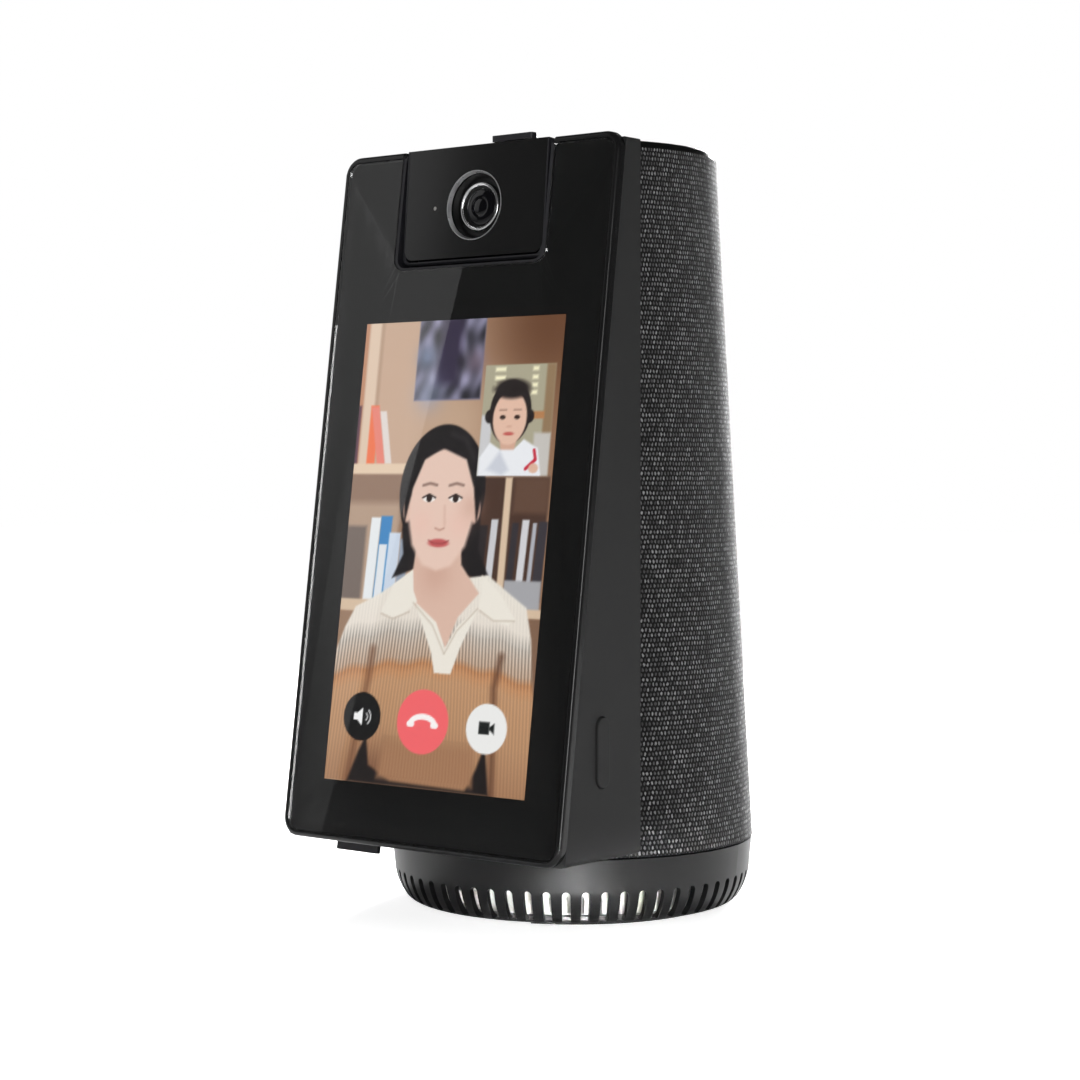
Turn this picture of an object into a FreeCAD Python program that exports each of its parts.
"""Portrait smart home hub: a slanted display housing on a fabric column that turns on a round base.

Frame: millimetres, +Z up, front towards -Y.  The origin lies on the turning axis, on the surface
the feet stand on.  Pieces of the display are drawn flat in the front frame (X across, Y up the
slanted front, Z out of it) and laid on the front by their placement.  Pieces of the camera are
drawn in the head frame, whose X axis is the tilt axis.
"""
import FreeCAD
import Part
import math
import os
import re
import Sketcher

SIZES = {
    # slanted display housing
    "housing_width": 118.6, "front_length": 232.9, "lean": 7.93, "front_reach": 83.4,
    "front_bottom": 26.45, "back_plane": 40.7, "corner": 6.4, "housing_wall": 2.2,
    "shell_drop": 1.9, "shell_corner": 0.8, "shell_heel": 2.0,
    "rim_width": 1.9, "rim_depth": 3.2, "rim_round": 1.3, "shelf_width": 2.6, "shelf_depth": 0.9,
    # glass and display stack, depths measured behind the front plane
    "glass_inset": 0.1, "glass_thick": 1.4, "glass_gap": 0.2, "mask_thick": 0.15,
    "adhesive_thick": 0.65, "screen_width": 85.92, "screen_height": 154.21, "screen_start": 20.0,
    "panel_margin": 3.0, "panel_thick": 2.0, "tray_thick": 2.2, "tray_wall": 1.0,
    # camera bay and head
    "bay_half": 32.6, "bay_start": 191.9, "bay_corner": 4.5, "bay_wall": 1.3, "bay_floor": 0.8,
    "bay_back_wall": 1.0, "head_half": 30.4, "head_below": 19.1, "head_above": 20.3,
    "head_face": 5.1, "head_wall": 1.2, "head_pitch": 3.0, "head_lip": 1.8, "head_round": 1.6,
    "head_corner": 3.5,
    "head_back_gap": 3.1, "pivot_up": 213.0, "pivot_deep": 6.2, "face_thick": 1.2,
    "lens_hole": 11.76, "lens_ring_wide": 0.9, "barrel_radius": 8.4, "glass_lens_radius": 6.2,
    "dome_rise": 1.05,
    "pin_radius": 1.5, "fit": 0.05, "led_across": 17.2, "led_radius": 0.65,
    # privacy slider
    "blade_wide": 17.0, "blade_thick": 0.6, "slider_travel": 20.4, "knob_long": 17.0,
    "knob_deep": 3.0, "knob_tall": 2.0, "knob_across": 14.5,
    # side button, label tab
    "button_back": 61.1, "button_high": 60.55, "button_long": 22.3, "button_wide": 6.3,
    "button_proud": 0.8, "button_gap": 0.25, "tab_across": 35.9, "tab_deep": 13.4,
    "tab_wide": 18.4, "tab_thick": 1.5, "tab_out": 3.3, "tab_long": 44.0,
    # round base
    "base_radius": 62.4, "base_top": 23.0, "foot_height": 1.2, "heel_radius": 5.2,
    "heel_sweep": 54.0, "bowl_radius": 19.3, "flare": 5.45, "base_wall": 2.0,
    "floor_opening": 47.8, "floor_thick": 2.0, "slot_wide": 2.8, "slot_top": 12.5,
    "slot_bottom": 2.0, "slot_pitch": 6.0, "slot_count": 57, "foot_outer": 50.0,
    "foot_inner": 41.0, "foot_sweep": 76.0, "deck_top": 22.0, "deck_thick": 2.2,
    "boss_circle": 38.0, "boss_radius": 3.4, "screw_radius": 1.25, "screw_head": 2.6,
    "hub_bore": 7.0, "hub_radius": 11.0, "hub_top": 38.0,
    # thrust bearing and turning drive
    "ball_circle": 28.0, "ball_radius": 1.6, "ball_gap": 0.08, "race_thick": 2.2,
    "race_half_width": 4.0, "ball_count": 24, "turntable_thick": 2.2, "turn_gap": 1.0,
    "sun_teeth": 48, "pan_teeth": 12, "pan_module": 1.0, "gear_wide": 4.0, "gear_lift": 1.0,
    "mesh_slack": 0.1, "pan_angle": 135.0, "motor_radius": 14.0, "motor_long": 18.0,
    "shaft_radius": 1.5,
    "tilt_teeth": 24, "tilt_pinion_teeth": 8, "tilt_module": 0.6, "tilt_gear_wide": 2.0,
    # fabric column
    "sleeve_bottom": 23.6, "sleeve_top": 255.6, "sleeve_low_radius": 62.6,
    "sleeve_high_radius": 50.2, "sleeve_thick": 1.0, "frame_thick": 1.8, "cap_radius": 49.3,
    "cap_top": 258.0, "cap_round": 1.0, "cap_skirt": 5.0,
    # speaker
    "box_half": 36.0, "box_standoff": 8.0, "box_rear": 18.0, "box_low": 80.0, "box_high": 182.0,
    "box_wall": 2.5,
    "driver_radius": 27.0, "driver_high": 150.0, "radiator_radius": 18.0, "radiator_high": 103.0,
    # electronics
    "board_thick": 1.6, "board_plane": 52.0, "board_half": 42.0, "board_low": 48.0,
    "board_high": 170.0,
}

document = FreeCAD.newDocument("HomeHub")
sheet = document.addObject("Spreadsheet::Sheet", "Sizes")
for row, (alias, value) in enumerate(SIZES.items(), start=1):
    sheet.set(f"A{row}", alias)
    sheet.set(f"B{row}", str(value))
    sheet.setAlias(f"B{row}", alias)
document.recompute()

WORDS = re.compile(r"\b(" + "|".join(SIZES) + r")\b")
FRONT = "front"
HEAD = "head"
nodes = []


# ---------------------------------------------------------------- expressions and placements

def qualified(formula):
    """The formula with each size name pointing at its cell of the sheet."""
    return WORDS.sub(r"Sizes.\1", str(formula))


def bind(target, place, formula):
    target.setExpression(place, qualified(formula))


def number(formula):
    """The present value of a formula."""
    return float(sheet.evalExpression(qualified(formula)))


def plus(*terms):
    return " + ".join(f"({term})" for term in terms)


def minus(first, *terms):
    return f"({first})" + "".join(f" - ({term})" for term in terms)


def place(target, frame=None, x=0, y=0, z=0, turn=None):
    """Puts target at x, y, z, laid on the front frame or the head frame if one is named."""
    axis = FreeCAD.Vector(1, 0, 0) if frame else FreeCAD.Vector(0, 0, 1)
    start = 45 if frame or turn else 0
    target.Placement = FreeCAD.Placement(FreeCAD.Vector(), FreeCAD.Rotation(axis, start))
    if frame == FRONT:
        turn = "90 - lean"
        y = "-front_reach"
        z = "front_bottom"
    if frame == HEAD:
        turn = "90 - lean + head_pitch"
        y = "-front_reach + pivot_up * sin(lean) + pivot_deep * cos(lean)"
        z = "front_bottom + pivot_up * cos(lean) - pivot_deep * sin(lean)"
    for letter, formula in (("x", x), ("y", y), ("z", z)):
        bind(target, f"Placement.Base.{letter}", formula)
    if turn:
        bind(target, "Placement.Rotation.Angle", turn)
    return target


def name_of(kind):
    return f"{kind}{len(document.Objects)}"


def keep(target, label):
    """Names target as a node of its own."""
    target.Label = label
    nodes.append(target)
    return target


# ---------------------------------------------------------------- sketches

def origin_part(body, role):
    return next(item for item in body.Origin.OriginFeatures if item.Role == role)


def corner_points(half_wide, low, high, radius, upper=None):
    """Outline of a rounded rectangle whose upper corners have a radius of their own.

    An upper radius of "0" leaves the upper corners square; none at all makes it the lower one.
    """
    upper = upper or radius
    left = f"-({half_wide})"
    points = [
        (plus(left, radius), low), (minus(half_wide, radius), low, radius),
        (half_wide, plus(low, radius)),
    ]
    if upper == "0":
        points += [(half_wide, high), (left, high)]
    else:
        points += [
            (half_wide, minus(high, upper), upper), (minus(half_wide, upper), high),
            (plus(left, upper), high, upper), (left, minus(high, upper)),
        ]
    return points + [(left, plus(low, radius), radius)]


def box_points(left, right, low, high):
    return [(left, low), (right, low), (right, high), (left, high)]


def arc_between(start, end, radius):
    """A left-turning arc of the given radius; a negative radius turns right."""
    span = end - start
    middle = (start + end) * 0.5
    rise = math.sqrt(max(radius * radius - span.Length ** 2 / 4, 0.0))
    side = FreeCAD.Vector(-span.y, span.x, 0).normalize() * (1 if radius > 0 else -1)
    centre = middle + side * rise
    top = centre - side * abs(radius)
    return Part.Arc(start, top, end)


def draw(sketch, points):
    """Closes an outline in the sketch and ties every point to its formulas.

    A third value on a point is the radius of the arc that runs from it to the next point.
    """
    first = sketch.GeometryCount
    spots = [FreeCAD.Vector(number(p[0]), number(p[1]), 0) for p in points]
    count = len(points)
    for i, point in enumerate(points):
        end = spots[(i + 1) % count]
        if len(point) > 2:
            sketch.addGeometry(arc_between(spots[i], end, number(point[2])), False)
        else:
            sketch.addGeometry(Part.LineSegment(spots[i], end), False)
    turned = []
    for i, point in enumerate(points):
        clockwise = len(point) > 2 and number(point[2]) < 0
        turned.append((2, 1) if clockwise else (1, 2))
    for i in range(count):
        after = (i + 1) % count
        pair = (first + i, turned[i][1], first + after, turned[after][0])
        sketch.addConstraint(Sketcher.Constraint("Coincident", *pair))
    for i, point in enumerate(points):
        for kind, formula in (("DistanceX", point[0]), ("DistanceY", point[1])):
            value = number(formula)
            tie = Sketcher.Constraint(kind, -1, 1, first + i, turned[i][0], value)
            bind(sketch, f"Constraints[{sketch.addConstraint(tie)}]", formula)
        if len(point) > 2:
            tie = Sketcher.Constraint("Radius", first + i, abs(number(point[2])))
            bind(sketch, f"Constraints[{sketch.addConstraint(tie)}]", f"abs({point[2]})")


def draw_circle(sketch, x, y, radius):
    centre = FreeCAD.Vector(number(x), number(y), 0)
    up = FreeCAD.Vector(0, 0, 1)
    index = sketch.addGeometry(Part.Circle(centre, up, number(radius)), False)
    for kind, formula in (("DistanceX", x), ("DistanceY", y)):
        tie = Sketcher.Constraint(kind, -1, 1, index, 3, number(formula))
        bind(sketch, f"Constraints[{sketch.addConstraint(tie)}]", formula)
    tie = Sketcher.Constraint("Radius", index, number(radius))
    bind(sketch, f"Constraints[{sketch.addConstraint(tie)}]", radius)


def new_sketch(body, plane="XY_Plane", start=0):
    """A sketch on one of the body's planes, moved along its normal by start."""
    sketch = body.newObject("Sketcher::SketchObject", name_of("Sketch"))
    sketch.AttachmentSupport = [(origin_part(body, plane), "")]
    sketch.MapMode = "FlatFace"
    bind(sketch, "AttachmentOffset.Base.z", start)
    return sketch


def new_body():
    return document.addObject("PartDesign::Body", name_of("Body"))


# ---------------------------------------------------------------- features

def add_pad(body, outlines, start, length, plane="XY_Plane"):
    """Pads the outlines of a plane from start by length along the plane's normal."""
    sketch = new_sketch(body, plane, start)
    for outline in outlines:
        if isinstance(outline, dict):
            draw_circle(sketch, outline["x"], outline["y"], outline["radius"])
        else:
            draw(sketch, outline)
    pad = body.newObject("PartDesign::Pad", name_of("Pad"))
    pad.Profile = sketch
    bind(pad, "Length", length)
    return pad


def circle(radius, x=0, y=0):
    return {"x": x, "y": y, "radius": radius}


def padded(outlines, start, length, plane="XY_Plane"):
    body = new_body()
    add_pad(body, outlines, start, length, plane)
    return body


def turned(points):
    """A body of revolution about Z from an outline of radius and height."""
    body = new_body()
    sketch = new_sketch(body, "XZ_Plane")
    draw(sketch, points)
    spin = body.newObject("PartDesign::Revolution", name_of("Revolution"))
    spin.Profile = sketch
    spin.ReferenceAxis = (sketch, ["V_Axis"])
    spin.Angle = 360
    return body


def ring(inner, outer, low, high):
    return turned(box_points(inner, outer, low, high))


def block(x0, x1, y0, y1, z0, z1):
    """A box from formulas for its two corners."""
    solid = document.addObject("Part::Box", name_of("Box"))
    bind(solid, "Length", minus(x1, x0))
    bind(solid, "Width", minus(y1, y0))
    bind(solid, "Height", minus(z1, z0))
    bind(solid, "Placement.Base.x", x0)
    bind(solid, "Placement.Base.y", y0)
    bind(solid, "Placement.Base.z", z0)
    return solid


def rod(radius, height, x=0, y=0, z=0):
    solid = document.addObject("Part::Cylinder", name_of("Cylinder"))
    bind(solid, "Radius", radius)
    bind(solid, "Height", height)
    place(solid, None, x, y, z)
    return solid


def side_rod(radius, x0, x1, y, z):
    """A cylinder along X."""
    solid = document.addObject("Part::Cylinder", name_of("Cylinder"))
    bind(solid, "Radius", radius)
    bind(solid, "Height", minus(x1, x0))
    solid.Placement = FreeCAD.Placement(
        FreeCAD.Vector(), FreeCAD.Rotation(FreeCAD.Vector(0, 1, 0), 90))
    bind(solid, "Placement.Base.x", x0)
    bind(solid, "Placement.Base.y", y)
    bind(solid, "Placement.Base.z", z)
    return solid


def rear_rod(radius, y0, y1, x, z):
    """A cylinder along Y."""
    solid = document.addObject("Part::Cylinder", name_of("Cylinder"))
    bind(solid, "Radius", radius)
    bind(solid, "Height", minus(y1, y0))
    solid.Placement = FreeCAD.Placement(
        FreeCAD.Vector(), FreeCAD.Rotation(FreeCAD.Vector(1, 0, 0), -90))
    bind(solid, "Placement.Base.x", x)
    bind(solid, "Placement.Base.y", y0)
    bind(solid, "Placement.Base.z", z)
    return solid


def cut(base, *tools):
    for tool in tools:
        result = document.addObject("Part::Cut", name_of("Cut"))
        result.Base = base
        result.Tool = tool
        base = result
    return base


def common(base, tool):
    result = document.addObject("Part::Common", name_of("Common"))
    result.Base = base
    result.Tool = tool
    return result


def fused(*shapes):
    result = document.addObject("Part::MultiFuse", name_of("Fuse"))
    result.Shapes = list(shapes)
    return result


def grouped(*shapes):
    """Several separate solids in one node."""
    result = document.addObject("Part::Compound", name_of("Group"))
    result.Links = list(shapes)
    return result


def rounded(source, radius, chosen):
    """The source with the chosen edges rounded."""
    body = new_body()
    body.BaseFeature = source
    document.recompute()
    base = body.Tip
    picked = [f"Edge{i}" for i, edge in enumerate(base.Shape.Edges, start=1) if chosen(edge)]
    fillet = body.newObject("PartDesign::Fillet", name_of("Fillet"))
    fillet.Base = (base, picked)
    bind(fillet, "Radius", radius)
    body.Tip = fillet
    return body


def gear(teeth, module, wide, bore, start, plane="XY_Plane", axis="Z_Axis", first_tooth=0.0):
    """A spur gear: a rim disc with one straight-sided tooth patterned round it."""
    body = new_body()
    root = f"({module}) * (({teeth}) / 2 - 1.2)"
    add_pad(body, [circle(root), circle(bore)], start, wide, plane)
    sketch = new_sketch(body, plane, start)
    tip = f"({module}) * (({teeth}) / 2 + 0.85)"
    foot = f"({module}) * (({teeth}) / 2 - 1.4)"
    wide_half = f"({module}) * 1.08"
    tip_half = f"({module}) * 0.34"
    corners = [(foot, f"-({wide_half})"), (tip, f"-({tip_half})"), (tip, tip_half),
               (foot, wide_half)]
    cosine = f"cos({first_tooth})"
    sine = f"sin({first_tooth})"
    draw(sketch, [(f"({x}) * {cosine} - ({y}) * {sine}", f"({x}) * {sine} + ({y}) * {cosine}")
                  for x, y in corners])
    tooth = body.newObject("PartDesign::Pad", name_of("Pad"))
    tooth.Profile = sketch
    bind(tooth, "Length", wide)
    document.recompute()
    pattern = body.newObject("PartDesign::PolarPattern", name_of("PolarPattern"))
    pattern.Originals = [tooth]
    pattern.Axis = (origin_part(body, axis), [""])
    pattern.Angle = 360
    bind(pattern, "Occurrences", teeth)
    body.Tip = pattern
    return body


# ---------------------------------------------------------------- shared shapes

FLOOR = "foot_height"
UPPER_RACE_LOW = "deck_top + race_thick + ball_radius * 1.1"
PLATE_LOW = plus(UPPER_RACE_LOW, "race_thick")
PLATE_TOP = plus(PLATE_LOW, "turntable_thick")
GEAR_LOW = plus(PLATE_TOP, "gear_lift")
GEAR_TOP = plus(GEAR_LOW, "gear_wide")
HOUSING_BOTTOM = "front_bottom - 0.15"
HOUSING_TOP = "front_bottom + front_length * cos(lean)"
FAR = "front_reach + 4"
BEHIND = "-back_plane"


def level_prism(outline, rear):
    """An upright outline run level from far in front to a plane behind it."""
    return padded([outline], f"-({rear})", plus(FAR, rear), "XZ_Plane")


def frame_prism(inset, rear=BEHIND):
    """The front frame's rounded outline, moved inwards by inset and run level to rear."""
    outline = corner_points(
        f"housing_width / 2 - ({inset})", plus(HOUSING_BOTTOM, inset),
        minus(HOUSING_TOP, inset), f"corner - ({inset})")
    return level_prism(outline, rear)


def shell_prism(inset, heel, corner, rear=BEHIND):
    """The rear shell's outline, lower than the frame's at the top and almost square."""
    outline = corner_points(
        f"housing_width / 2 - ({inset})", plus(HOUSING_BOTTOM, inset),
        minus(HOUSING_TOP, "shell_drop", inset), heel, corner)
    return level_prism(outline, rear)


def front_slab(shallow, deep):
    """Everything between two depths behind the front plane."""
    slab = block("-housing_width", "housing_width", "-front_length / 2", "front_length * 1.5",
                 "0", minus(deep, shallow))
    slab.Placement = FreeCAD.Placement(
        FreeCAD.Vector(), FreeCAD.Rotation(FreeCAD.Vector(1, 0, 0), 45))
    bind(slab, "Placement.Base.x", "-housing_width")
    bind(slab, "Placement.Base.y",
         f"-front_reach - front_length / 2 * sin(lean) + ({deep}) * cos(lean)")
    bind(slab, "Placement.Base.z",
         f"front_bottom - front_length / 2 * cos(lean) - ({deep}) * sin(lean)")
    bind(slab, "Placement.Rotation.Angle", "90 - lean")
    return slab


def behind_housing(solid):
    """The part of a round column piece that stands behind the housing's back plane."""
    front = block("-housing_width", "housing_width", "-front_reach * 2", BEHIND,
                  "0", "cap_top * 2")
    return cut(solid, front)


def bay_outline(grow):
    return corner_points(
        plus("bay_half", grow), minus("bay_start", grow), "front_length + 12",
        plus("bay_corner", grow), "0")


def bay_prism(grow, deep):
    body = padded([bay_outline(grow)], f"-({deep})", plus(deep, "5"))
    return place(body, FRONT)


# ---------------------------------------------------------------- round base

def bowl_points(inset):
    """The bowl's outer line from floor to rim, moved inwards by inset; arcs carry a radius."""
    flat = ("base_radius - (base_top - foot_height - heel_radius"
            " + (heel_radius - bowl_radius) * cos(heel_sweep) + bowl_radius * sin(flare))"
            " * tan(flare) - (heel_radius - bowl_radius) * sin(heel_sweep)"
            " - bowl_radius * cos(flare)")
    heel = f"heel_radius - ({inset})"
    bowl = f"bowl_radius - ({inset})"
    heel_high = plus(FLOOR, "heel_radius")
    bowl_x = plus(flat, "(heel_radius - bowl_radius) * sin(heel_sweep)")
    bowl_z = minus(heel_high, "(heel_radius - bowl_radius) * cos(heel_sweep)")
    return [
        (flat, plus(FLOOR, inset), heel),
        (plus(flat, f"({heel}) * sin(heel_sweep)"),
         minus(heel_high, f"({heel}) * cos(heel_sweep)"), bowl),
        (plus(bowl_x, f"({bowl}) * cos(flare)"), minus(bowl_z, f"({bowl}) * sin(flare)")),
        (minus("base_radius", f"({inset}) / cos(flare)"), "base_top"),
    ]


def make_base_shell():
    outer = bowl_points(0)
    inner = bowl_points("base_wall")
    back = [(x, z) for x, z, *_ in reversed(inner)]
    back[1] = (*back[1], "-(bowl_radius - base_wall)")
    back[2] = (*back[2], "-(heel_radius - base_wall)")
    outline = [("floor_opening", FLOOR)] + outer + back + [
        ("floor_opening", plus(FLOOR, "base_wall"))]
    body = turned(outline)
    document.recompute()
    sketch = new_sketch(body, "XZ_Plane", "-(base_radius + 2)")
    half = "slot_wide / 2"
    draw(sketch, [(f"-({half})", "slot_bottom"), (half, "slot_bottom"),
                  (half, minus("slot_top", half), half), ("0", "slot_top", half),
                  (f"-({half})", minus("slot_top", half))])
    pocket = body.newObject("PartDesign::Pocket", name_of("Pocket"))
    pocket.Profile = sketch
    pocket.Reversed = True
    bind(pocket, "Length", "base_radius - floor_opening - 3.5")
    slots = body.newObject("PartDesign::PolarPattern", name_of("PolarPattern"))
    slots.Originals = [pocket]
    slots.Axis = (origin_part(body, "Z_Axis"), [""])
    bind(slots, "Angle", "slot_pitch * (slot_count - 1)")
    bind(slots, "Occurrences", "slot_count")
    body.Tip = slots
    place(body, None, turn="(360 - slot_pitch * (slot_count - 1)) / 2")
    socket_hole = block("-5.6", "5.6", "base_radius - 8", "base_radius + 8", "12.4", "19")
    keep(cut(body, socket_hole), "base_shell")


def screw_places():
    """Sine and cosine factors of the four floor screws."""
    return [("cos(45)", "sin(45)"), ("-cos(45)", "sin(45)"), ("-cos(45)", "-sin(45)"),
            ("cos(45)", "-sin(45)")]


def make_base_deck():
    low = "deck_top - deck_thick"
    disc = turned([
        ("hub_bore", low), ("base_radius - base_wall - 0.6", low),
        ("base_radius - base_wall - 0.6", "deck_top"), ("hub_radius", "deck_top"),
        ("hub_radius", "hub_top"), ("hub_bore", "hub_top")])
    posts = [rod("boss_radius", minus(low, FLOOR, "floor_thick"), f"boss_circle * {cx}",
                 f"boss_circle * {sy}", plus(FLOOR, "floor_thick")) for cx, sy in screw_places()]
    holes = [rod("screw_radius", "9", f"boss_circle * {cx}", f"boss_circle * {sy}",
                 plus(FLOOR, "floor_thick - 1")) for cx, sy in screw_places()]
    keep(cut(fused(disc, *posts), *holes), "base_deck")


def make_bottom_plate():
    plate = rod("floor_opening - 0.2", "floor_thick", z=FLOOR)
    holes = [rod("screw_radius + 0.15", "9", f"boss_circle * {cx}", f"boss_circle * {sy}", "0")
             for cx, sy in screw_places()]
    sinks = [rod("screw_head + 0.15", plus(FLOOR, "1.2"), f"boss_circle * {cx}",
                 f"boss_circle * {sy}", "0") for cx, sy in screw_places()]
    keep(cut(plate, *holes, *sinks), "bottom_plate")


def make_rubber_feet():
    """Three arc pads, one of them at the back."""
    pads = []
    for middle in (90, 210, 330):
        body = new_body()
        sketch = new_sketch(body, "XZ_Plane")
        draw(sketch, box_points("foot_inner", "foot_outer", "0", "foot_height"))
        sweep = body.newObject("PartDesign::Revolution", name_of("Revolution"))
        sweep.Profile = sketch
        sweep.ReferenceAxis = (sketch, ["V_Axis"])
        bind(sweep, "Angle", "foot_sweep")
        place(body, None, turn=f"{middle} - foot_sweep / 2")
        pads.append(body)
    keep(grouped(*pads), "rubber_feet")


def make_base_screws():
    screws = []
    for cx, sy in screw_places():
        x = f"boss_circle * {cx}"
        y = f"boss_circle * {sy}"
        head = rod("screw_head", "1.1", x, y, plus(FLOOR, "0.1"))
        socket = rod("1.1", "0.9", x, y, FLOOR)
        shank = rod("screw_radius - 0.02", "8", x, y, plus(FLOOR, "1.2"))
        screws.append(fused(cut(head, socket), shank))
    keep(grouped(*screws), "base_screws")


def make_vent_baffle():
    """A light ring behind the slots with one upright fin, narrow at the top, in each slot."""
    inner = "base_radius - 12.6"
    band = ring(inner, plus(inner, "1.2"), plus(FLOOR, "base_wall + 0.2"), "slot_top + 3")
    body = new_body()
    sketch = new_sketch(body, "XZ_Plane", f"-({inner} + 7.4)")
    foot = plus(FLOOR, "base_wall + 1.6")
    draw(sketch, [("-0.45", foot), ("0.45", foot), ("0.12", "slot_top - 3.2"),
                  ("-0.12", "slot_top - 3.2")])
    pad = body.newObject("PartDesign::Pad", name_of("Pad"))
    pad.Profile = sketch
    bind(pad, "Length", "6.8")
    document.recompute()
    pattern = body.newObject("PartDesign::PolarPattern", name_of("PolarPattern"))
    pattern.Originals = [pad]
    pattern.Axis = (origin_part(body, "Z_Axis"), [""])
    bind(pattern, "Angle", "slot_pitch * (slot_count - 1)")
    bind(pattern, "Occurrences", "slot_count")
    body.Tip = pattern
    place(body, None, turn="(360 - slot_pitch * (slot_count - 1)) / 2")
    rear_gap = block("-15", "15", "hub_bore", "base_radius * 2", "0", "base_top")
    keep(cut(fused(band, body), rear_gap), "vent_baffle")


def make_base_electrics():
    ballast = ring("hub_bore + 1", "boss_circle - boss_radius - 1.6", plus(FLOOR, "floor_thick"),
                   plus(FLOOR, "floor_thick + 6"))
    keep(ballast, "ballast_ring")
    board_low = plus(FLOOR, "floor_thick + 6.4")
    board = block("-14", "14", "9.5", "base_radius - 14.2", board_low, plus(board_low, "board_thick"))
    parts = [block(x0, x1, y0, y1, plus(board_low, "board_thick"), plus(board_low, "board_thick", up))
             for x0, x1, y0, y1, up in (
                 ("-11", "-5", "14", "22", "5"), ("2", "10", "13", "21", "3.6"),
                 ("-9", "3", "26", "34", "4.4"), ("6", "11", "25", "32", "6"))]
    keep(fused(board, *parts), "power_board")
    body = block("-5", "5", "base_radius - 20", "base_radius - 2.4", "12.6", "18.6")
    slot = block("-4.2", "4.2", "base_radius - 10", "base_radius", "13.8", "17.4")
    tongue = block("-3.1", "3.1", "base_radius - 10", "base_radius - 4", "15.2", "16")
    keep(fused(cut(body, slot), tongue), "power_socket")


def make_bearing():
    """A thrust bearing between the base and the turntable: two grooved races and their balls."""
    centre = "deck_top + race_thick + ball_radius * 0.55"
    groove = document.addObject("Part::Torus", name_of("Torus"))
    bind(groove, "Radius1", "ball_circle")
    bind(groove, "Radius2", "ball_radius + ball_gap")
    bind(groove, "Placement.Base.z", centre)
    inner = "ball_circle - race_half_width"
    outer = "ball_circle + race_half_width"
    lower = ring(inner, outer, "deck_top", "deck_top + race_thick")
    upper = ring(inner, outer, UPPER_RACE_LOW, plus(UPPER_RACE_LOW, "race_thick"))
    keep(cut(lower, groove), "lower_race")
    keep(cut(upper, groove), "upper_race")
    balls = []
    for i in range(int(SIZES["ball_count"])):
        ball = document.addObject("Part::Sphere", name_of("Sphere"))
        bind(ball, "Radius", "ball_radius")
        bind(ball, "Placement.Base.x", f"ball_circle * cos(360 / ball_count * {i})")
        bind(ball, "Placement.Base.y", f"ball_circle * sin(360 / ball_count * {i})")
        bind(ball, "Placement.Base.z", centre)
        balls.append(ball)
    keep(grouped(*balls), "bearing_balls")


# ---------------------------------------------------------------- turning drive

PAN_REACH = "pan_module * (sun_teeth + pan_teeth) / 2 + mesh_slack"


def make_pan_drive():
    sun = gear("sun_teeth", "pan_module", "gear_wide", "hub_radius + fit", GEAR_LOW)
    keep(sun, "sun_gear")
    keep(ring("hub_radius + fit", "hub_radius + 3.5", plus(GEAR_TOP, "0.2"), "hub_top"), "hub_nut")
    x = f"({PAN_REACH}) * cos(pan_angle)"
    y = f"({PAN_REACH}) * sin(pan_angle)"
    pinion = gear("pan_teeth", "pan_module", "gear_wide", "shaft_radius", GEAR_LOW)
    keep(place(pinion, None, x, y), "pan_pinion")
    shaft = rod("shaft_radius", minus("hub_top", GEAR_LOW, "-8"), x, y, GEAR_LOW)
    keep(shaft, "pan_motor_shaft")
    can_low = plus(GEAR_TOP, "2.6")
    can = fused(rod("motor_radius", "motor_long", x, y, can_low),
                rod("4.5", "0.9", x, y, minus(can_low, "0.9")))
    bore = rod("shaft_radius + fit", "14", x, y, minus(can_low, "1"))
    keep(cut(can, bore), "pan_motor")
    plate_low = plus(GEAR_TOP, "0.6")
    arm = block("hub_radius + 5", "54", "-motor_radius + 1", "motor_radius - 1", plate_low,
                plus(plate_low, "2"))
    leg = block("48", "54", "-motor_radius + 1", "motor_radius - 1", COLUMN_FLOOR, plate_low)
    hole = rod(plus("4.5", "0.1"), "6", x=PAN_REACH, z=minus(plate_low, "1"))
    bracket = cut(fused(arm, leg), hole)
    keep(place(bracket, None, turn="pan_angle"), "motor_bracket")
    keep(rod("2.6", "62", z="10.5"), "turn_cable")


# ---------------------------------------------------------------- fabric column

COLUMN_FLOOR = "base_top + turn_gap + 2"


def sleeve_radius(height):
    """Outer radius of the fabric at a height."""
    return (f"(sleeve_low_radius - (sleeve_low_radius - sleeve_high_radius)"
            f" * (({height}) - sleeve_bottom) / (sleeve_top - sleeve_bottom))")


def cone_wall(outside, inside, low, high):
    """A conical wall parallel to the fabric, between two distances inside its surface."""
    return turned([
        (minus(sleeve_radius(low), inside), low), (minus(sleeve_radius(low), outside), low),
        (minus(sleeve_radius(high), outside), high), (minus(sleeve_radius(high), inside), high)])


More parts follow.
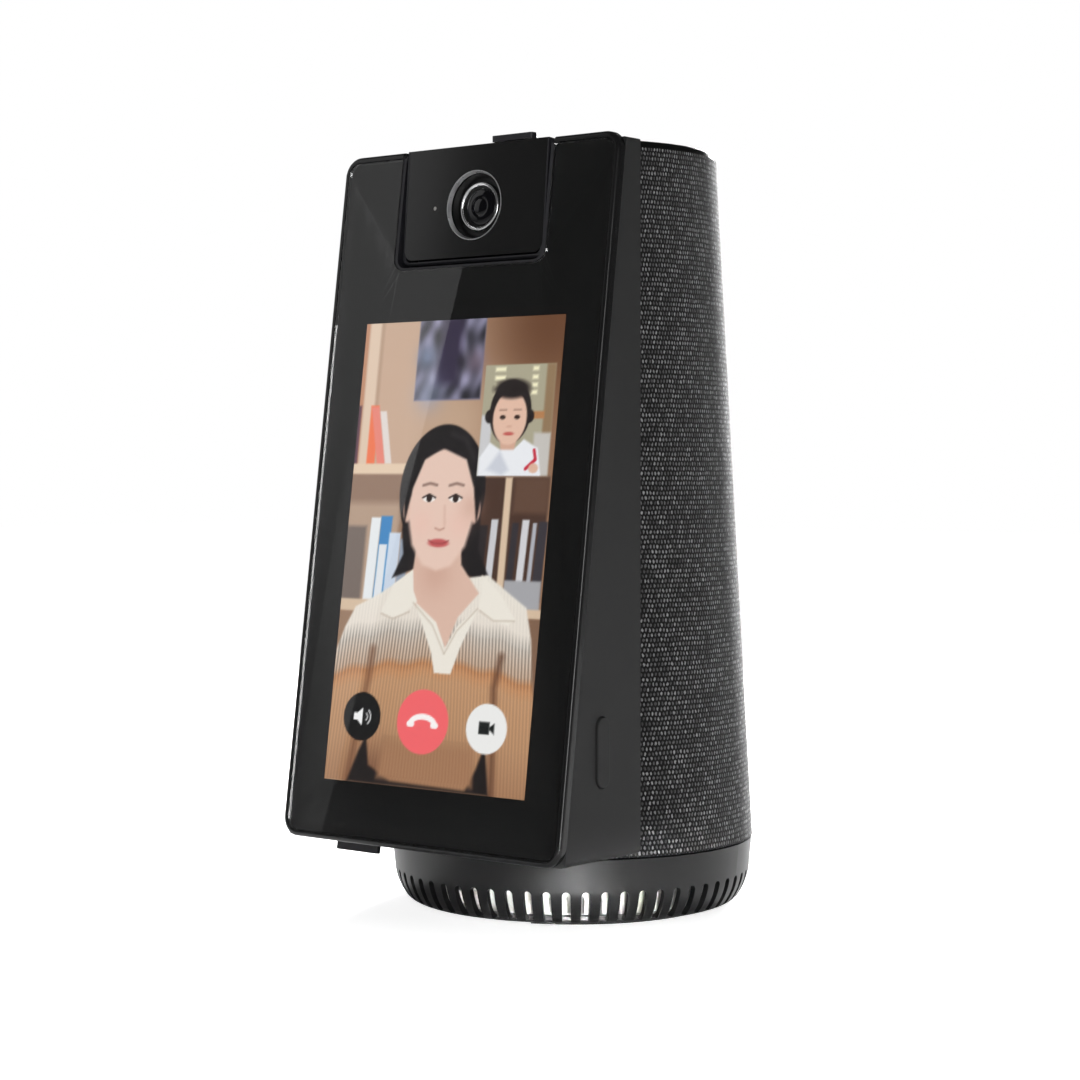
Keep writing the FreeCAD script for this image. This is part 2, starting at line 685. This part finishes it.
def make_column():
    rim = minus(sleeve_radius(COLUMN_FLOOR), "sleeve_thick + frame_thick + 0.3")
    low = "base_top + turn_gap"
    step = "ball_circle + race_half_width + 2.5"
    keep(turned([
        ("hub_radius + 2", PLATE_LOW), (step, PLATE_LOW), (step, low), (rim, low),
        (rim, COLUMN_FLOOR), (plus(step, "turntable_thick"), COLUMN_FLOOR),
        (plus(step, "turntable_thick"), PLATE_TOP), ("hub_radius + 2", PLATE_TOP)]), "turntable")
    sleeve = cone_wall("0", "sleeve_thick", "sleeve_bottom", "sleeve_top")
    keep(behind_housing(sleeve), "fabric_sleeve")
    frame = cone_wall("sleeve_thick", "sleeve_thick + frame_thick", "sleeve_bottom + 0.2",
                      "sleeve_top - 1.5")
    windows = []
    for level in (0.16, 0.40, 0.64, 0.84):
        for turn in (100, 130, 160, 200, 230, 260):
            window = padded([box_points("-9", "9", "0", "34")], "20", "sleeve_low_radius - 14",
                            "XZ_Plane")
            windows.append(place(window, None, z=f"sleeve_top * {level}", turn=str(turn)))
    keep(behind_housing(cut(frame, grouped(*windows))), "column_frame")
    skirt = minus(sleeve_radius("sleeve_top"), "sleeve_thick + frame_thick + 0.3")
    cap = turned([
        (minus(skirt, "2"), minus("sleeve_top", "cap_skirt")),
        (skirt, minus("sleeve_top", "cap_skirt")), (skirt, "sleeve_top - 1.3"),
        ("cap_radius - 0.4", "sleeve_top - 1.3"), ("cap_radius - 0.4", "sleeve_top"),
        ("cap_radius", "sleeve_top"), ("cap_radius", "cap_top - cap_round", "cap_round"),
        ("cap_radius - cap_round", "cap_top"), ("0", "cap_top"), ("0", "cap_top - 2"),
        (minus(skirt, "2"), "cap_top - 2")])
    keep(behind_housing(cap), "top_cap")


# ---------------------------------------------------------------- slanted housing

def make_housing():
    solid = cut(shell_prism("0", "shell_heel", "shell_corner"), front_slab("-60", "rim_depth"))
    room = shell_prism("housing_wall", "0.5", "0", minus(BEHIND, "housing_wall"))
    shell = cut(solid, room, bay_prism("0.1", "30"))
    passage = block("-16", "16", "-back_plane - 10", "-back_plane + 10", "front_bottom + 22",
                    "front_bottom + 128")
    pin_room = block("-bay_half - 0.1", "bay_half + 0.1", "-back_plane - 10", "-back_plane + 10",
                     "front_bottom + bay_start * cos(lean)", "cap_top + 5")
    button = button_solid("button_gap", "housing_width")
    tab = place(tab_bar("0.35", "30", "10"), FRONT)
    screws = [rear_rod("screw_radius + 0.15", minus(BEHIND, "9"), plus(BEHIND, "9"), x, z)
              for x, z in box_screw_places()]
    keep(cut(shell, passage, pin_room, button, tab, *screws), "housing_shell")


def on_front_face(edge):
    """Whether an edge lies on the slanted front plane."""
    lean = math.radians(SIZES["lean"])
    normal = FreeCAD.Vector(0, -math.cos(lean), math.sin(lean))
    start = FreeCAD.Vector(0, -number("front_reach"), number("front_bottom"))
    return all(abs((vertex.Point - start).dot(normal)) < 0.01 for vertex in edge.Vertexes)


def on_outline(edge):
    """Whether an edge of the front plane belongs to the housing's outer outline."""
    half = number("housing_width") / 2
    low = number(HOUSING_BOTTOM)
    high = number(HOUSING_TOP)
    corner = number("corner")
    point = edge.valueAt((edge.FirstParameter + edge.LastParameter) / 2)
    in_x = half - abs(point.x)
    in_z = min(point.z - low, high - point.z)
    if in_x < corner - 0.01 and in_z < corner - 0.01:
        away = math.hypot(corner - in_x, corner - in_z)
        return away > corner - 0.5 and edge.Length > 4
    return min(in_x, in_z) < 0.3 and edge.Length > 4


def make_rim():
    """The bezel frame: a rounded rim round the glass and a shelf that the glass is glued to."""
    hole = frame_prism("rim_width", minus(BEHIND, "5"))
    ring_part = common(cut(frame_prism("0"), hole), front_slab("0", "rim_depth"))
    shelf_hole = frame_prism("rim_width + shelf_width", minus(BEHIND, "5"))
    shelf = common(cut(frame_prism("rim_width - 0.05"), shelf_hole),
                   front_slab("rim_depth - shelf_depth", "rim_depth"))
    frame = cut(fused(ring_part, shelf), bay_prism("0.1", "30"))
    keep(rounded(frame, "rim_round", lambda e: on_front_face(e) and on_outline(e)), "front_rim")


def glass_outline(gap):
    half = f"housing_width / 2 - rim_width - ({gap})"
    return corner_points(half, plus("rim_width", gap),
                         minus("front_length", "rim_width", gap, "0.15"),
                         f"corner - rim_width - ({gap})")


def screen_box(margin):
    half = f"screen_width / 2 + ({margin})"
    return box_points(f"-({half})", half, minus("screen_start", margin),
                      plus("screen_start + screen_height", margin))


def front_sheet(outlines, shallow, thick):
    """A flat sheet parallel to the front plane, its outer face at a depth."""
    body = padded(outlines, minus("0", shallow, thick), thick)
    return place(body, FRONT)


def make_glass_and_display():
    glass = front_sheet([glass_outline("glass_gap")], "glass_inset", "glass_thick")
    keep(cut(glass, bay_prism("0.1", "30")), "cover_glass")
    deep = "glass_inset + glass_thick"
    mask = front_sheet([glass_outline("glass_gap + 0.4"), screen_box("0")], deep, "mask_thick")
    keep(cut(mask, bay_prism("0.3", "30")), "bezel_mask")
    deep = plus(deep, "mask_thick")
    inner = glass_outline("glass_gap + shelf_width - 0.4")
    glue = front_sheet([glass_outline("glass_gap + 0.5"), inner], deep, "adhesive_thick")
    keep(cut(glue, bay_prism("shelf_width", "30")), "adhesive_frame")
    panel = front_sheet([screen_box("panel_margin")], plus(deep, "0.05"), "panel_thick")
    keep(panel, "display_panel")
    outer = "panel_margin + 0.1 + tray_wall"
    tray = front_sheet([screen_box(outer)], plus(deep, "0.6"),
                       "tray_thick + panel_thick - 0.5")
    room = front_sheet([screen_box("panel_margin + 0.1")], minus(deep, "1"),
                       "panel_thick + 1.1")
    keep(cut(tray, room), "backlight_tray")


def make_bay_liner():
    """The trough that the camera head tilts in, open at the front and at the top."""
    outer = bay_prism("0", "30")
    rear = block("-housing_width", "housing_width", BEHIND, "front_reach", "0", "cap_top * 2")
    top = block("-housing_width", "housing_width", "-front_reach * 2", "front_reach",
                minus(HOUSING_TOP, "shell_drop"), "cap_top * 2")
    inner_outline = corner_points("bay_half - bay_wall", plus("bay_start", "bay_floor"),
                                  "front_length + 14", "bay_corner - bay_floor", "0")
    inner = place(padded([inner_outline], "-30", "36"), FRONT)
    back = block("-housing_width", "housing_width", minus(BEHIND, "bay_back_wall"),
                 "front_reach", "0", "cap_top * 2")
    trough = cut(outer, rear, top, front_slab("-20", "0.35"), cut(inner, back))
    holes = side_rod("pin_radius + fit", "-bay_half - 5", "bay_half + 5", PIVOT_Y, PIVOT_Z)
    keep(cut(trough, holes), "bay_liner")


PIVOT_Y = "-front_reach + pivot_up * sin(lean) + pivot_deep * cos(lean)"
PIVOT_Z = "front_bottom + pivot_up * cos(lean) - pivot_deep * sin(lean)"


def button_solid(grow, reach):
    """The pill shape of the side button, run along X from inside the wall."""
    wide = f"button_wide / 2 + ({grow})"
    half = "button_long / 2 - button_wide / 2"
    outline = [
        (f"-button_back + {wide}", minus("button_high", half)),
        (f"-button_back + {wide}", plus("button_high", half), wide),
        ("-button_back", plus("button_high", half, wide), wide),
        (f"-button_back - ({wide})", plus("button_high", half)),
        (f"-button_back - ({wide})", minus("button_high", half), wide),
        ("-button_back", minus("button_high", half, wide), wide)]
    return padded([outline], "housing_width / 2 - housing_wall - 0.3",
                  plus(reach, "housing_wall + 0.3"), "YZ_Plane")


def make_side_button():
    cap = button_solid("0", "button_proud")
    inside = "housing_width / 2 - housing_wall"
    flange = block(minus(inside, "1.3"), minus(inside, "0.3"), "-button_back - 4.6",
                   "-button_back + 4.6", "button_high - button_long / 2 - 1.4",
                   "button_high + button_long / 2 + 1.4")
    stub = side_rod("1.4", minus(inside, "2.1"), minus(inside, "1.2"), "-button_back",
                    "button_high")
    pill = rounded(cap, "0.5", lambda e: all(
        v.X > number("housing_width / 2") + 0.1 for v in e.Vertexes))
    keep(fused(pill, flange, stub), "side_button")
    board_far = minus(inside, "5.2")
    board = block(minus(board_far, "1.2"), board_far, "-button_back - 5", "-button_back + 5",
                  "button_high - 13", "button_high + 13")
    switch = block(board_far, plus(board_far, "1.8"), "-button_back - 2.6",
                   "-button_back + 2.6", "button_high - 2.6", "button_high + 2.6")
    plunger = side_rod("1.2", plus(board_far, "1.7"), plus(board_far, "2.4"), "-button_back",
                       "button_high")
    ribs = [block(board_far, inside, "-button_back - 4", "-button_back + 4", z, plus(z, "1.6"))
            for z in ("button_high - 16", "button_high + 14.4")]
    arms = [block(minus(board_far, "1.2"), board_far, "-button_back - 4", "-button_back + 4", z,
                  plus(z, "4")) for z in ("button_high - 16", "button_high + 12")]
    keep(fused(board, switch, plunger, *arms, *ribs), "button_board")


def tab_bar(grow, below, above):
    """The label tab's bar, drawn in the front frame and run along the slant."""
    half = f"tab_wide / 2 + ({grow})"
    thick = f"tab_thick / 2 + ({grow})"
    outline = box_points(f"-tab_across - ({half})", f"-tab_across + {half}",
                         f"-tab_deep - ({thick})", f"-tab_deep + {thick}")
    return padded([outline], minus("0", above), plus(above, below), "XZ_Plane")


def make_label_tab():
    bar = rounded(tab_bar("0", "tab_out", "tab_long"), "0.5", lambda e: e.Length < 2)
    keep(place(bar, FRONT), "label_tab")
    half = "tab_wide / 2 + 1.8"
    outline = box_points(f"-tab_across - ({half})", f"-tab_across + {half}",
                         "-tab_deep - 2.4", "-tab_deep + 2.4")
    body = place(padded([outline], "-(tab_long + 3)", "tab_long - 2", "XZ_Plane"), FRONT)
    slot = place(tab_bar("0.2", "tab_out", "tab_long + 1"), FRONT)
    keep(cut(body, slot), "label_guide")


# ---------------------------------------------------------------- electronics and speaker

def make_electronics():
    front = "-board_plane - board_thick"
    board = block("-board_half", "board_half", front, "-board_plane", "board_low", "board_high")
    chips = [block(x0, x1, minus(front, up), front, z0, z1) for x0, x1, z0, z1, up in (
        ("-30", "-18", "60", "72", "1.4"), ("4", "20", "58", "66", "2.2"),
        ("-34", "-26", "130", "142", "1.6"), ("22", "34", "96", "112", "1.8"),
        ("-8", "8", "150", "160", "2.4"))]
    keep(fused(board, *chips), "main_board")
    cans = [block(x0, x1, "-board_plane", "-board_plane + 2.4", z0, z1) for x0, x1, z0, z1 in (
        ("-32", "-2", "104", "134"), ("6", "30", "108", "132"), ("-24", "4", "62", "88"))]
    keep(grouped(*cans), "shield_cans")
    low = "-board_plane + 2.4"
    plate = block("-34", "34", low, plus(low, "1.4"), "100", "138")
    fins = [block(str(x), str(x + 1.2), plus(low, "1.2"), minus(BEHIND, "housing_wall + 0.8"),
                  "100", "138") for x in range(-34, 34, 6)]
    keep(fused(plate, *fins), "heat_sink")


def make_speaker():
    front = plus(BEHIND, "box_standoff")
    body = block("-box_half", "box_half", front, "box_rear", "box_low", "box_high")
    room = block("-box_half + box_wall", "box_half - box_wall", plus(front, "box_wall"),
                 "box_rear - box_wall", "box_low + box_wall", "box_high - box_wall")
    holes = [rear_rod("driver_radius - 3", "0", "box_rear + 5", "0", "driver_high"),
             rear_rod("radiator_radius - 2", "0", "box_rear + 5", "0", "radiator_high")]
    posts = [rear_rod("4", plus(BEHIND, "0.05"), plus(front, "1"), x, z)
             for x, z in box_screw_places()]
    threads = [rear_rod("screw_radius", BEHIND, plus(BEHIND, "7"), x, z)
               for x, z in box_screw_places()]
    keep(cut(fused(cut(body, room), *posts), *holes, *threads), "speaker_box")
    basket = turned([
        ("8", "-14"), ("11", "-14"), ("driver_radius - 4", "-3"), ("driver_radius - 3.2", "0"),
        ("driver_radius", "0"), ("driver_radius", "2"), ("driver_radius - 3.2", "2"),
        ("driver_radius - 5.4", "-3"), ("9.5", "-12.6"), ("8", "-12.6")])
    cone = turned([
        ("0", "-7.6"), ("6", "-9.2"), ("driver_radius - 8", "-0.6"), ("driver_radius - 8", "0"),
        ("6", "-8.4"), ("0", "-6.8")])
    surround = turned([
        ("driver_radius - 7.9", "-0.6"), ("driver_radius - 5.9", "-0.6"),
        ("driver_radius - 3.2", "2.05"), ("driver_radius - 3.2", "3.2"),
        ("driver_radius - 6", "2.4"), ("driver_radius - 7.9", "0")])
    magnet = rod("15", "12", z="-26.2")
    for piece, label in ((basket, "speaker_basket"), (cone, "speaker_cone"),
                         (surround, "speaker_surround"), (magnet, "speaker_magnet")):
        piece.Placement = FreeCAD.Placement(
            FreeCAD.Vector(), FreeCAD.Rotation(FreeCAD.Vector(1, 0, 0), -90))
        reach = "-26.2" if label == "speaker_magnet" else "0"
        bind(piece, "Placement.Base.x", "0")
        bind(piece, "Placement.Base.y", plus("box_rear", reach))
        bind(piece, "Placement.Base.z", "driver_high")
        keep(piece, label)
    radiator = turned([
        ("0", "-1.4"), ("radiator_radius - 6", "-1.4"), ("radiator_radius - 4", "0"),
        ("radiator_radius", "0"), ("radiator_radius", "1.4"), ("radiator_radius - 4.4", "1.4"),
        ("radiator_radius - 6.4", "0.2"), ("0", "0.2")])
    radiator.Placement = FreeCAD.Placement(
        FreeCAD.Vector(), FreeCAD.Rotation(FreeCAD.Vector(1, 0, 0), -90))
    bind(radiator, "Placement.Base.x", "0")
    bind(radiator, "Placement.Base.y", "box_rear")
    bind(radiator, "Placement.Base.z", "radiator_high")
    keep(radiator, "passive_radiator")


def box_screw_places():
    """Across and up places of the four screws that hold the speaker box to the housing."""
    return [(x, z) for x in ("-box_half + 10", "box_half - 10")
            for z in ("box_low + 6", "box_high - 6")]


def make_housing_screws():
    """Four screws through the housing's back wall into the speaker box's posts."""
    screws = []
    inside = minus(BEHIND, "housing_wall")
    for x, z in box_screw_places():
        head = rear_rod("screw_head", minus(inside, "1.2"), inside, x, z)
        shank = rear_rod("screw_radius - 0.02", minus(inside, "0.1"), plus(BEHIND, "6"), x, z)
        screws.append(fused(head, shank))
    keep(grouped(*screws), "housing_screws")


# ---------------------------------------------------------------- camera head

def head_rear(up):
    """Depth of the head's upright back face at a height up the head frame."""
    pitch = "(lean - head_pitch)"
    return (f"(({PIVOT_Y}) + back_plane + bay_back_wall + head_back_gap + ({up}) * sin{pitch})"
            f" / cos{pitch}")


def head_section(inset, face):
    """Side outline of the head in its own frame: height up the face, then distance out."""
    low = f"-(head_below - ({inset}))"
    high = f"head_above - ({inset})"
    return [
        (low, plus(head_rear("-14.5"), "2.2", inset)), (plus(low, "4"), plus(head_rear("-15"), inset)),
        (high, plus(head_rear("head_above"), inset)), (high, face),
        (plus(low, "head_round"), face, "head_round"), (low, minus(face, "head_round"))]


def head_block(inset, face):
    """The head's body moved inwards by inset, with its front face at a distance out."""
    half = f"head_half - ({inset})"
    side = place(padded([head_section(inset, face)], f"-({half})", f"2 * ({half})", "YZ_Plane"),
                 HEAD)
    outline = corner_points(half, f"-(head_below - ({inset}))", "head_above + 3",
                            f"head_corner - ({inset})", "0")
    return common(side, head_sheet([outline], "head_face + 5", "40"))


def face_outline(gap):
    """The glossy face's outline, less a gap, above the lip at the head's lower edge."""
    return corner_points(f"head_half - 0.6 - ({gap})", f"-(head_below - head_lip) + ({gap})",
                         "head_above + 3", "head_corner", "0")


def head_sheet(outlines, outer, thick):
    """A flat sheet parallel to the camera's face."""
    return place(padded(outlines, minus(outer, thick), thick), HEAD)


def make_camera_head():
    room = head_block("head_wall", "head_face + 3")
    seat = head_sheet([face_outline("0")], "head_face + 2", "2 + face_thick")
    pins = side_rod("pin_radius", "-head_half * 2", "head_half * 2", PIVOT_Y, PIVOT_Z)
    stem_slot = place(padded([box_points(
        "knob_across - slider_travel - 4.4", "knob_across + 4.4", BLADE_BACK + " - 0.25",
        BLADE_FRONT + " + 0.25")], "-(head_above + 4)", "8", "XZ_Plane"), HEAD)
    keep(cut(head_block("0", "head_face"), room, seat, pins, stem_slot), "head_shell")
    face = head_sheet([face_outline("0.1"), circle("lens_hole"),
                       circle("led_radius + 0.05", "-led_across")], "head_face", "face_thick")
    top = head_sheet([box_points("-housing_width", "housing_width", "head_above",
                                 "head_above + 30")], "head_face + 10", "40")
    keep(cut(face, top), "camera_face")
    cup = turned([
        ("barrel_radius + 0.1", "0.4"), ("lens_hole - 0.2", "0.4"), ("lens_hole", CUP_TOP),
        ("lens_hole - lens_ring_wide", CUP_TOP), ("lens_hole - 1.9", "1.4"),
        ("barrel_radius + 0.1", "1.4")])
    keep(place(cup, HEAD), "lens_cup")
    trim = turned([
        ("lens_hole - lens_ring_wide", "head_face - face_thick"),
        ("lens_hole - 0.05", "head_face - face_thick"), ("lens_hole - 0.05", "head_face + 0.15"),
        ("lens_hole - 0.35", "head_face + 0.15")])
    keep(place(trim, HEAD), "lens_ring")
    barrel = turned([
        ("0", "0"), ("barrel_radius - 1.4", "0"), ("barrel_radius", "0.6"),
        ("barrel_radius", "2.1"), ("barrel_radius - 0.5", "2.5"), ("glass_lens_radius + 0.6", "2.5"),
        ("glass_lens_radius", "1.9"), ("glass_lens_radius", "0.9"), ("3.8", "0.5"), ("0", "0.5")])
    keep(place(barrel, HEAD), "lens_barrel")
    lens = turned([
        ("0", "0.95"), ("glass_lens_radius - 0.05", "0.95"),
        ("glass_lens_radius - 0.05", "1.35", LENS_ROUND), ("0", "1.35 + dome_rise")])
    keep(place(lens, HEAD), "lens_glass")
    board = head_sheet([box_points("-13", "13", "-9", "8")], "-0.05", "0.7")
    keep(board, "camera_board")
    keep(head_sheet([circle("led_radius", "-led_across")], "head_face - 0.1", "0.6"),
         "status_led")
    left = side_rod("pin_radius", "-bay_half - 3.4", "-head_half + head_wall", PIVOT_Y, PIVOT_Z)
    right = side_rod("pin_radius", "head_half - head_wall", "bay_half + 1.2", PIVOT_Y, PIVOT_Z)
    keep(grouped(left, right), "tilt_pins")


BLADE_FRONT = "head_face - face_thick - 0.15"
BLADE_BACK = "head_face - face_thick - 0.15 - blade_thick"
LENS_ROUND = "((glass_lens_radius - 0.05) ^ 2 + dome_rise ^ 2) / (2 * dome_rise)"
CUP_TOP = "head_face - face_thick - blade_thick - 0.3"


def make_privacy_slider():
    centre = "slider_travel"
    blade_points = box_points(f"{centre} - blade_wide / 2", f"{centre} + blade_wide / 2",
                              "-10", "13.5")
    arm_points = box_points("knob_across - 4", f"{centre} + blade_wide / 2", "13.4",
                            "16.6")
    stem_points = box_points("knob_across - 4", "knob_across + 4", "16.5",
                             "head_above + 0.7")
    blade = [head_sheet([points], BLADE_FRONT, "blade_thick")
             for points in (blade_points, arm_points, stem_points)]
    knob_outline = corner_points("knob_long / 2", "-knob_deep / 2", "knob_deep / 2", "0.7")
    knob = padded([knob_outline], "0", "knob_tall")
    place(knob, None, x="knob_across", y=f"({PIVOT_Y}) + (head_above) * sin(lean - head_pitch)"
          f" - ({BLADE_FRONT} - blade_thick / 2) * cos(lean - head_pitch)",
          z=f"({PIVOT_Z}) + (head_above + 0.45) * cos(lean - head_pitch)"
          f" + ({BLADE_FRONT} - blade_thick / 2) * sin(lean - head_pitch)")
    keep(fused(*blade, knob), "privacy_slider")


def make_tilt_drive():
    wheel = gear("tilt_teeth", "tilt_module", "tilt_gear_wide", "pin_radius",
                 "-(bay_half + 0.6 + tilt_gear_wide)", "YZ_Plane", "X_Axis")
    lay_at_pivot(wheel, "0")
    keep_low = place(padded([box_points("-60", "60", "pivot_up - 12", "pivot_up - 2.6")],
                            "-pivot_deep - 3.4", "6.8"), FRONT)
    boss = side_rod("3.2", "-(bay_half + 0.6 + tilt_gear_wide)", "-(bay_half + 0.6)",
                    PIVOT_Y, PIVOT_Z)
    hole = side_rod("pin_radius", "-housing_width", "housing_width", PIVOT_Y, PIVOT_Z)
    keep(cut(fused(common(wheel, keep_low), boss), hole), "tilt_gear")
    pinion = gear("tilt_pinion_teeth", "tilt_module", "tilt_gear_wide", "0.6",
                  "-(bay_half + 0.6 + tilt_gear_wide)", "YZ_Plane", "X_Axis",
                  "180 / tilt_pinion_teeth")
    reach = "tilt_module * (tilt_teeth + tilt_pinion_teeth) / 2 + mesh_slack"
    lay_at_pivot(pinion, reach)
    y = f"({PIVOT_Y}) - ({reach}) * sin(lean)"
    z = f"({PIVOT_Z}) - ({reach}) * cos(lean)"
    shaft = side_rod("0.6", "-(bay_half + 8)", "-(bay_half + 0.6)", y, z)
    keep(fused(pinion, shaft), "tilt_pinion")
    motor = side_rod("4.2", "-(bay_half + 19)", "-(bay_half + 4.2)", y, z)
    hole = side_rod("0.65", "-(bay_half + 9)", "-(bay_half + 4)", y, z)
    keep(cut(motor, hole), "tilt_motor")
    plate = place(padded([box_points("-(bay_half + 4.2)", "-(bay_half + 3.4)",
                                     f"pivot_up - ({reach}) - 6", f"pivot_up - ({reach}) + 4.6")],
                         "-pivot_deep - 4.2", "8.4"), FRONT)
    foot = place(padded([box_points("-(bay_half + 4.2)", "-bay_half",
                                    f"pivot_up - ({reach}) - 6", f"pivot_up - ({reach}) - 4.8")],
                        "-pivot_deep - 4.2", "8.4"), FRONT)
    bore = side_rod("0.75", "-(bay_half + 9)", "-(bay_half + 1)", y, z)
    keep(cut(fused(plate, foot), bore), "tilt_bracket")


def lay_at_pivot(body, below):
    """Lays a body on the front frame's slant with its X axis a distance below the tilt axis."""
    place(body, FRONT)
    bind(body, "Placement.Base.y", f"({PIVOT_Y}) - ({below}) * sin(lean)")
    bind(body, "Placement.Base.z", f"({PIVOT_Z}) - ({below}) * cos(lean)")


# ---------------------------------------------------------------- build, check and write

MAKERS = [
    make_base_shell, make_base_deck, make_bottom_plate, make_rubber_feet, make_base_screws,
    make_vent_baffle, make_base_electrics, make_bearing, make_pan_drive, make_column,
    make_housing, make_rim, make_glass_and_display, make_bay_liner, make_side_button,
    make_label_tab, make_electronics, make_speaker, make_housing_screws, make_camera_head,
    make_privacy_slider, make_tilt_drive,
]


def check():
    """Stops the build if any object failed or any node is empty or broken."""
    document.recompute()
    failed = [item.Label for item in document.Objects
              if "Invalid" in item.State or "Error" in item.State]
    failed += [node.Label for node in nodes
               if node.Shape.isNull() or not node.Shape.isValid() or not node.Shape.Solids]
    if failed:
        raise RuntimeError(f"these objects failed: {failed}")


def write():
    os.makedirs("parts", exist_ok=True)
    for node in nodes:
        node.Shape.exportStep(f"parts/{node.Label}.step")
        print(f"{node.Label:20s} {len(node.Shape.Solids):3d} solids {node.Shape.Volume:12.1f} mm3")


for make in MAKERS:
    make()
check()
write()
